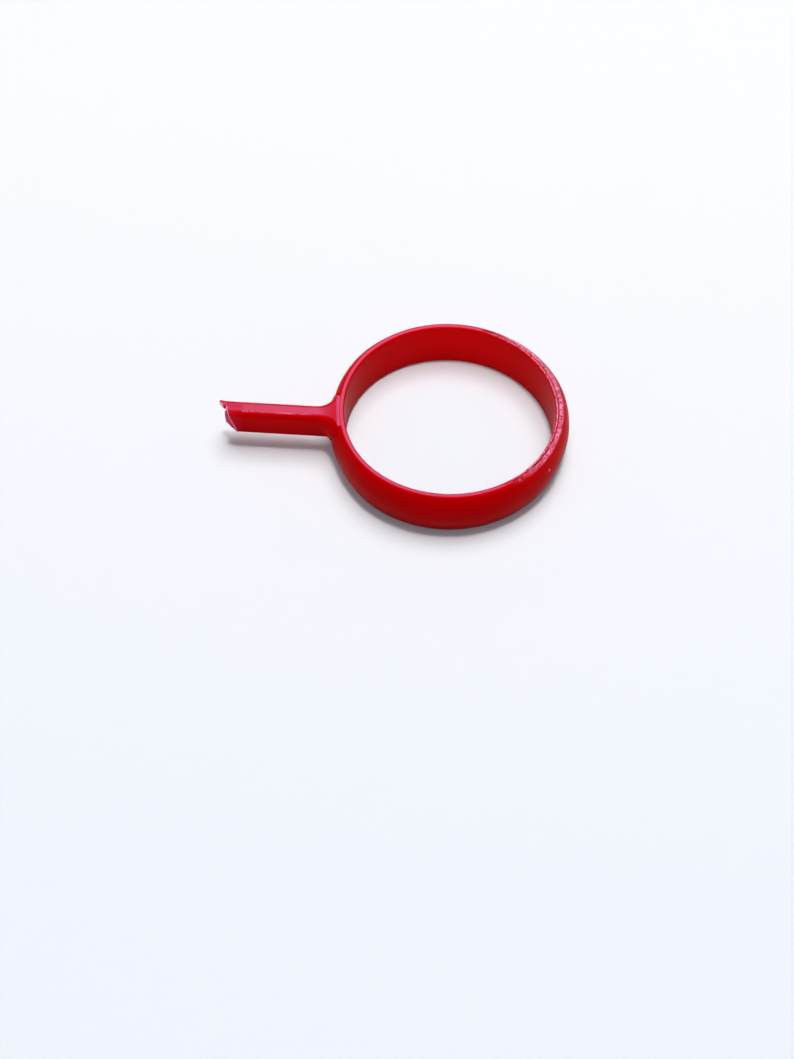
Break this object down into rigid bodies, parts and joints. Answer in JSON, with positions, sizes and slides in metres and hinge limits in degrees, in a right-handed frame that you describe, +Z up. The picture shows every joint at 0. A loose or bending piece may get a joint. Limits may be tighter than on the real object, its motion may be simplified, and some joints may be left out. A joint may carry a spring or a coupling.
{
  "type": "closed ring stitch marker",
  "caption": "Closed plastic ring with a domed band and a short snapped tail, slipped over a needle or a finger to mark a stitch.",
  "frame": {"origin": "centre of the ring's bore at mid height of the band", "axes": "+Z up along the bore axis, +X away from the tail, so the snapped tail points along -X"},
  "size_m": [0.0293, 0.0202, 0.0045],
  "materials": {
    "red_polyethylene": "moulded, satin",
    "torn_polyethylene": "torn and stress-whitened"
  },
  "bodies": {
    "root": {"ring_band": "red_polyethylene", "tail_root": "red_polyethylene", "tail_bar": "red_polyethylene", "torn_core": "torn_polyethylene", "torn_skin": "torn_polyethylene", "torn_spur": "torn_polyethylene", "rim_flash": "red_polyethylene"}
  },
  "joints": []
}
